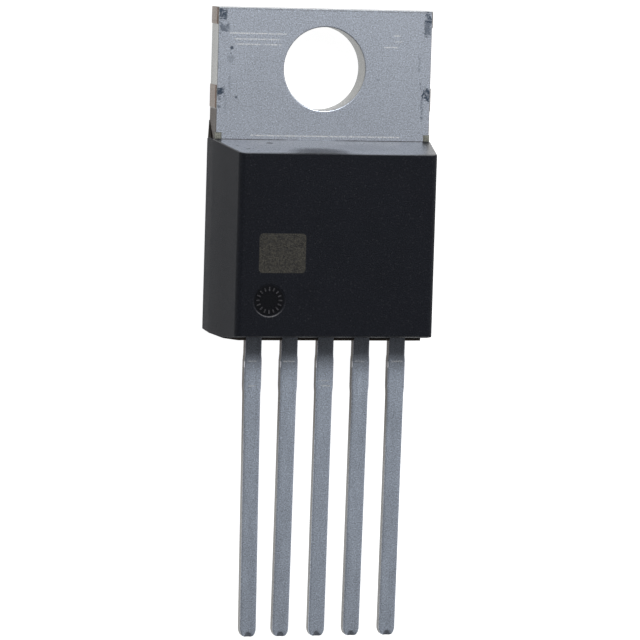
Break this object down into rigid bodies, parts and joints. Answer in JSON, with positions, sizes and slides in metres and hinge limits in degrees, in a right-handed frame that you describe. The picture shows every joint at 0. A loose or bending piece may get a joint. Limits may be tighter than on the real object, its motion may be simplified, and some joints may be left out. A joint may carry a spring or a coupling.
{
  "type": "voltage regulator",
  "caption": "Power-tab voltage regulator: moulded body, drilled tin-plated heat tab and a row of straight flat leads.",
  "frame": {"origin": "axis of the mounting hole, on the back face of the tab", "axes": "+Z out of the printed front face and along the hole, +Y towards the hole end of the tab, leads point to -Y, +X to the right seen from the front"},
  "size_m": [0.0104, 0.0288, 0.0044],
  "materials": {
    "mould_compound": "fine matt black epoxy compound",
    "tin_plate": "matt tin plate over copper",
    "solder": "dull soft solder",
    "silicon": "polished silicon",
    "wire_metal": "bright drawn aluminium"
  },
  "bodies": {
    "root": {"mould_body": "mould_compound", "tab_and_ground_lead": "tin_plate", "enable_lead": "tin_plate", "input_lead": "tin_plate", "output_lead": "tin_plate", "adjust_lead": "tin_plate", "die_solder": "solder", "silicon_die": "silicon", "enable_wire": "wire_metal", "input_wire_outer": "wire_metal", "input_wire_inner": "wire_metal", "ground_wire": "wire_metal", "output_wire_inner": "wire_metal", "output_wire_outer": "wire_metal", "adjust_wire": "wire_metal"}
  },
  "joints": []
}
